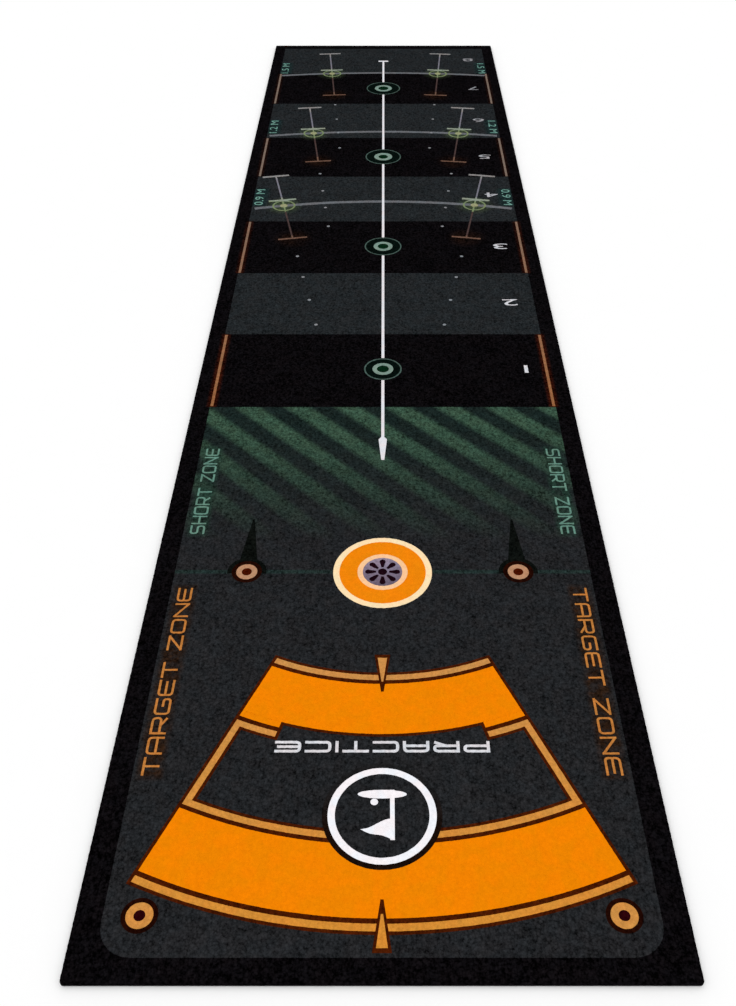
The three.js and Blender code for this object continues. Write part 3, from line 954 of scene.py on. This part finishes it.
def nylon(name, colour, contrast):
    """Cut nylon tufts. The colour is a hex code, or a function that makes a socket."""
    shader = Shader(name)
    base = colour(shader) if callable(colour) else colour
    gap, tuft = shader.cells(TUFT_CELLS)
    fibre = shader.noise(FIBRES)
    rows = shader.noise(ROWS, 2.0, (1, ROW_STRETCH, 1))
    clump = shader.noise(CLUMPS, 2.0, (1, CLUMP_STRETCH, 1))
    patch = shader.noise(PATCHES, 3.0)
    total = 0.0
    for value, weight in zip((tuft, fibre, rows, clump, patch), MOTTLING):
        centred = shader.maths("MULTIPLY_ADD", value, weight * contrast, -0.5 * weight * contrast)
        total = shader.maths("ADD", centred, total)
    # Painted shade: the colour darkens from each tuft's middle into the gap round it.
    painted_gap_shade = shader.ramp(gap, *GAP_PAINTED_SHADE)
    total = shader.maths("MULTIPLY_ADD", painted_gap_shade, contrast, total)
    light = shader.maths("MAXIMUM", shader.maths("ADD", total, 1.0), DARKEST)
    tint = shader.mix(shader.ramp(shader.noise(TINTS, 1.0), *TINT_EDGES), COOL, WARM)
    shade = shader.add("VectorMath", {0: tint, "Scale": light}, operation="SCALE").outputs[0]
    dyed_colour = shader.mix(1.0, base, shade, "MULTIPLY")
    height = shader.maths("MULTIPLY_ADD", gap, -GAP_DEPTH, fibre)
    roughness = shader.ramp(fibre, *NYLON_ROUGHNESS)
    return shader.surface(dyed_colour, roughness, height, NYLON_DEPTH, NYLON_SPECULAR)


def word_glow(shader, colour, place, word_x, glow, span, amount, stain):
    """A stain of dye that fades out round a word along each side."""
    x, v = place
    near, far = span
    across = shader.ramp(shader.away(shader.maths("ABSOLUTE", x), word_x), *glow, 1.0, 0.0)
    start = shader.ramp(v, near - glow[0], near)
    along = shader.times(start, shader.ramp(v, far, far + glow[0], 1.0, 0.0))
    return shader.mix(shader.times(across, along, amount), colour, stain)


def label_glow(shader, colour, place):
    """A blotched stain of dye round each word along the sides."""
    blotch = shader.ramp(shader.noise(LABEL_BLOTCHES), *LABEL_BLOTCH)
    for piece, _, span, _ in SIDE_WORDS:
        stain = LABEL_STAIN[piece]
        colour = word_glow(shader, colour, place, LABEL_X, LABEL_GLOW, span, blotch, stain)
    return colour


def stripe_colour(shader):
    """The field's slate, with soft green stripes that grow towards the first band."""
    x, v = flat_place(shader)
    start = BAND_START + HALF_LENGTH
    slant = shader.maths("MULTIPLY_ADD", v, STRIPE_SLOPE, -STRIPE_SLOPE * start - STRIPE_PHASE)
    turns = shader.maths("DIVIDE", shader.maths("ADD", x, slant), STRIPE_PITCH)
    aside = shader.maths("PINGPONG", turns, 0.5)
    wave = shader.ramp(aside, *STRIPE_SOFT, 1.0, 0.0)
    strength = shader.ramp(v, *STRIPE_FADE, kind="LINEAR")
    colour = shader.mix(strength, SLATE, STRIPE_TROUGH)
    colour = shader.mix(shader.times(wave, strength), colour, STRIPE_PEAK)
    line = shader.away(v, TARGET_Y + HALF_LENGTH)
    across = shader.ramp(line, *CROSS_LINE, CROSS_LINE_AMOUNT, 0.0)
    colour = shader.mix(across, colour, CROSS_LINE_GREEN)
    return label_glow(shader, colour, (x, v))


def side_glow(shader, colour, x, v):
    """Brown dye that bleeds out of the side lines of the odd bands."""
    aside = shader.away(shader.maths("ABSOLUTE", x), SIDE_LINE_X)
    near = shader.ramp(aside, *SIDE_GLOW, 1.0, 0.0)
    start = BAND_START + HALF_LENGTH
    count = shader.maths("DIVIDE", shader.maths("SUBTRACT", v, start), 2 * BAND_PITCH)
    odd = shader.ramp(shader.maths("FRACT", count), *ODD_HALF, 1.0, 0.0)
    beyond = shader.ramp(v, start - 2 * MM, start)
    amount = shader.times(near, odd, beyond)
    share = shader.ramp(v, start, start + 4 * BAND_PITCH, kind="LINEAR")
    return shader.mix(amount, colour, shader.mix(share, *SIDE_STAINS))


def gate_glow(shader, colour):
    """Green and brown dye that bleeds out of the gates in blotches."""
    blotch = shader.ramp(shader.noise(GATE_BLOTCHES), *GATE_BLOTCH)
    for radius, slopes, reach in zip(ARCS, GATE_SLOPES, GATE_REACH):
        for slope in slopes:
            for distance, stain in ((radius, GATE_GREEN), (radius - reach, GATE_BROWN)):
                middle = [*gate_point(slope, distance), PILE_TOP]
                inputs = {0: shader.place, 1: middle}
                away = shader.add("VectorMath", inputs, operation="DISTANCE").outputs["Value"]
                amount = shader.times(shader.ramp(away, *GATE_GLOW, GATE_AMOUNT, 0.0), blotch)
                colour = shader.mix(amount, colour, stain)
    return colour


def arc_label_glow(shader, colour):
    """A stain of dye round each distance along the sides."""
    place = flat_place(shader)
    half = ARC_WORD_SIZE[0] / 2
    looks = (ARC_LABEL_AMOUNT, ARC_LABEL_STAIN)
    for radius in ARCS:
        middle = arc_word_middle(radius) + HALF_LENGTH
        span = (middle - half, middle + half)
        colour = word_glow(shader, colour, place, ARC_WORD_X, ARC_LABEL_GLOW, span, *looks)
    return colour


def slate_band_colour(shader):
    return arc_label_glow(shader, gate_glow(shader, BAND_SLATE))


def black_band_colour(shader):
    return side_glow(shader, gate_glow(shader, BLACK), *flat_place(shader))


def border_colour(shader):
    return side_glow(shader, BLACK, *flat_place(shader))


def gate_colour(number):
    """Brown at the near bar, olive at the ring, and grey past it."""
    def colour(shader):
        rings = [gate_point(slope, ARCS[number - 1])[1] for slope in GATE_SLOPES[number - 1]]
        middle = sum(rings) / 2 + HALF_LENGTH
        v = flat_place(shader)[1]
        made = GATE_NEAR_BAR
        for start, dye_code in GATE_DYES:
            past = shader.ramp(v, middle + start - 2 * MM, middle + start + 2 * MM)
            made = shader.mix(past, made, dye_code)
        return made
    return colour


def along_mat(start, end, colours):
    """A colour that changes from one to another between two distances from the near end."""
    def colour(shader):
        share = shader.ramp(flat_place(shader)[1], start, end, kind="LINEAR")
        return shader.mix(share, *colours)
    return colour


def band_start(number):
    """The distance from the near end at which a band starts."""
    return BAND_EDGES[number - 1] + HALF_LENGTH


def weave():
    """The carrier fabric, whose cut edge shows between rubber and pile."""
    shader = Shader("carrier_weave")
    waves = []
    for direction in ("X", "Y"):
        inputs = {"Vector": shader.place, "Scale": THREADS, "Distortion": THREAD_DISTORTION}
        waves.append(shader.add("TexWave", inputs, bands_direction=direction).outputs["Fac"])
    height = shader.maths("MAXIMUM", *waves)
    colour = shader.mix(height, *THREAD_COLOURS)
    roughness = shader.ramp(height, *THREAD_ROUGHNESS)
    return shader.surface(colour, roughness, height, THREAD_DEPTH, THREAD_SPECULAR)


def rubber():
    """Moulded rubber with a fine grain and a paler bloom."""
    shader = Shader("backing_rubber")
    grain = shader.noise(RUBBER_GRAIN, 4.0)
    bloom = shader.noise(RUBBER_BLOOM, 2.0)
    colour = shader.mix(bloom, *RUBBER_COLOURS)
    roughness = shader.ramp(grain, *RUBBER_ROUGHNESS)
    return shader.surface(colour, roughness, grain, RUBBER_DEPTH, RUBBER_SPECULAR)


AMBER_COLOUR = along_mat(40 * MM, 320 * MM, AMBERS)
HALO_COLOUR = along_mat(*HALO_FADE, HALO_DYES)
# The cup's lilac carries painted shade: it darkens towards the cup's near side.
LILAC_PAINTED_SHADE_COLOUR = along_mat(*[TARGET_Y + HALF_LENGTH + side * 18 * MM for side in (-1, 1)], LILACS_PAINTED_SHADE)
NUMBER_COLOUR = along_mat(band_start(2), band_start(7), NUMBER_COLOURS)
SIDE_LINE_COLOUR = along_mat(band_start(1), band_start(5), SIDE_LINE_COLOURS)

BLACK_BAND = ("black_pile", "black_band", black_band_colour, 0.9)
AMBER = ("amber_dye", "amber_print", AMBER_COLOUR, 0.14)

# What a piece's name holds: its slot, its material, that material's colour and its contrast.
FINISHES = {
    "border_pile": ("black_pile", "black_border", border_colour, 0.9),
    "field_pile": ("slate_pile", "slate_field", stripe_colour, 0.55),
    "green_stripe": ("green_dye", "green_stripes", stripe_colour, 0.55),
    "band_numbers": ("white_dye", "number_print", NUMBER_COLOUR, 0.16),
    **{f"band_{n}_": BLACK_BAND for n in range(1, BANDS, 2)},
    "band_": ("slate_pile", "slate_band", slate_band_colour, 0.55),
    "target_zone": ("orange_dye", "burnt_orange_print", "#be7a3a", 0.2),
    "short_zone": ("green_dye", "sage_print", "#648a7b", 0.2),
    "arc_labels": ("mint_dye", "pale_sage_print", "#6f9c90", 0.2),
    "practice_label": ("white_dye", "white_print", "#d9d8dc", 0.16),
    "target_outer": ("cream_dye", "cream_print", "#fce0b2", 0.06),
    "target_orange": ("orange_dye", "target_orange_print", "#ef850b", 0.07),
    "target_inner": ("cream_dye", "pink_cream_print", "#f8c696", 0.07),
    # The lilac print's colour carries painted shade, darker on the cup's near side.
    "target_cup": ("lilac_dye", "lilac_print", LILAC_PAINTED_SHADE_COLOUR, 0.2),
    "target_shade": ("umber_dye", "plum_print", "#1c0812", 0.4),
    "aim_ring": ("amber_dye", "pale_amber_print", "#b98a69", 0.14),
    "aim_hole": ("umber_dye", "rust_print", "#481200", 0.3),
    "aim_spike": ("umber_dye", "spike_print", "#0d100e", 0.6),
    "corner_hole": ("umber_dye", "wine_print", "#2a050a", 0.3),
    "corner_ring": ("amber_dye", "dark_amber_print", "#cd8d45", 0.14),
    "distance_shade": ("green_dye", "pine_print", "#07110e", 0.5),
    "distance_hole": ("green_dye", "green_print", "#072514", 0.4),
    "_shade": ("umber_dye", "umber_print", "#220a04", 0.4),
    "pointer": AMBER,
    "centre_line": ("white_dye", "line_print", "#e2e0e4", 0.07),
    "side_lines": ("amber_dye", "brown_print", SIDE_LINE_COLOUR, 0.2),
    "_line": AMBER,
    "fan_frame": AMBER,
    "fan_outline": ("umber_dye", "outline_print", "#461904", 0.4),
    "fan_": ("orange_dye", "orange_print", "#ef8303", 0.06),
    "emblem_halo": ("umber_dye", "halo_print", HALO_COLOUR, 0.4),
    "emblem": ("white_dye", "bright_print", "#f4f2f6", 0.05),
    "distance_ring": ("mint_dye", "mint_print", "#7c9489", 0.16),
    "distance_circle": ("slate_pile", "slate_print", "#4a5e57", 0.3),
    "distance_arc": ("lilac_dye", "grey_lilac_print", "#67696d", 0.2),
    "gate_dots": ("white_dye", "lime_print", "#969873", 0.16),
    **{f"gate_{n}": ("lilac_dye", f"gate_{n}_print", gate_colour(n), 0.2) for n in (1, 2, 3)},
    "putt_dots": ("white_dye", "grey_print", "#888b8f", 0.16),
}


# ---- Backing ----
def backing_piece():
    """The rubber sheet, with its lower edge eased."""
    low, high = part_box("rubber_backing")
    rings = [(inset, low.z + rise) for inset, rise in RUBBER_EDGE] + [(0, high.z)]
    outlines = []
    for inset, z in rings:
        box = (low.x + inset, low.y + inset, high.x - inset, high.y - inset)
        outline = rectangle(*box, [MAT_CORNER - inset] * 4)
        outlines.append(np.column_stack([outline, np.full(len(outline), z)]))
    count = len(outlines[0])
    faces = [list(range(count))[::-1], list(range((len(rings) - 1) * count, len(rings) * count))]
    for level in range(len(rings) - 1):
        for n in range(count):
            a, b = level * count + n, level * count + (n + 1) % count
            faces.append([a, b, b + count, a + count])
    return smooth_piece("rubber_sheet", np.concatenate(outlines).tolist(), faces, RUBBER_SHARP)


# ---- Scene ----
def add_camera():
    data = bpy.data.cameras.new("camera")
    data.lens = LENS
    data.shift_x = SHIFT_X
    camera = placed("camera", data)
    camera.location = CAMERA_PLACE
    camera.rotation_euler = (CAMERA_TILT, 0, 0)
    bpy.context.scene.camera = camera


def add_light():
    world = bpy.data.worlds.new("studio")
    world.use_nodes = True
    background = world.node_tree.nodes["Background"]
    background.inputs["Color"].default_value = (1, 1, 1, 1)
    background.inputs["Strength"].default_value = WORLD_STRENGTH
    bpy.context.scene.world = world
    lamp = bpy.data.lights.new("soft_key", "SUN")
    lamp.energy = KEY_STRENGTH
    lamp.angle = KEY_SPREAD
    placed("soft_key", lamp).rotation_euler = KEY_TURN
    bpy.context.scene.view_settings.view_transform = "Standard"


def add_floor():
    mesh = bpy.data.meshes.new("floor")
    half = FLOOR_HALF
    corners = [(-half, -half), (half, -half), (half, half), (-half, half)]
    mesh.from_pydata([(x, y, FLOOR_Z) for x, y in corners], [], [(0, 1, 2, 3)])
    shader = Shader("floor_paint")
    grain = shader.noise(FLOOR_GRAIN, 3.0)
    colour = shader.mix(grain, FLOOR_COLOUR, [c * FLOOR_DARKER for c in FLOOR_COLOUR])
    mesh.materials.append(shader.surface(colour, FLOOR_ROUGHNESS, grain, FLOOR_DEPTH, 0.0))
    floor = placed("floor", mesh)


# ---- Making ----
def finish_of(piece):
    """The slot, material, colour and contrast of a piece of pile."""
    for part, finish in FINISHES.items():
        if part in piece:
            return finish
    raise KeyError(piece)


def place_piece(piece, material, nodes):
    piece.data.materials.append(material)
    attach(piece, "root")
    if nodes:
        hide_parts(*nodes)


def nodes_for(name):
    """The CAD nodes that a piece of pile stands for."""
    if name == "border_pile":
        return [f"{side}_border_pile" for side in ("left", "right", "far", "near")]
    return [name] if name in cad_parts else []


def make_pile():
    for make in (dye_pile, dye_stripes, dye_labels, dye_target, dye_small_rings, dye_fan, dye_emblem,
                 dye_arcs, dye_gates, dye_dots, dye_lines_and_numbers, dye_centre_line,
                 dye_distance_rings):
        make()
    made = {}
    for name, piece in pile_pieces().items():
        slot, material, colour, contrast = finish_of(name)
        if material not in made:
            made[material] = nylon(material, colour, contrast)
        place_piece(piece, made[material], nodes_for(name))


add_camera()
add_light()
add_floor()
make_pile()
place_piece(backing_piece(), rubber(), ["rubber_backing"])
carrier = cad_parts["carrier_fabric"]
carrier.data.materials.clear()
carrier.data.materials.append(weave())
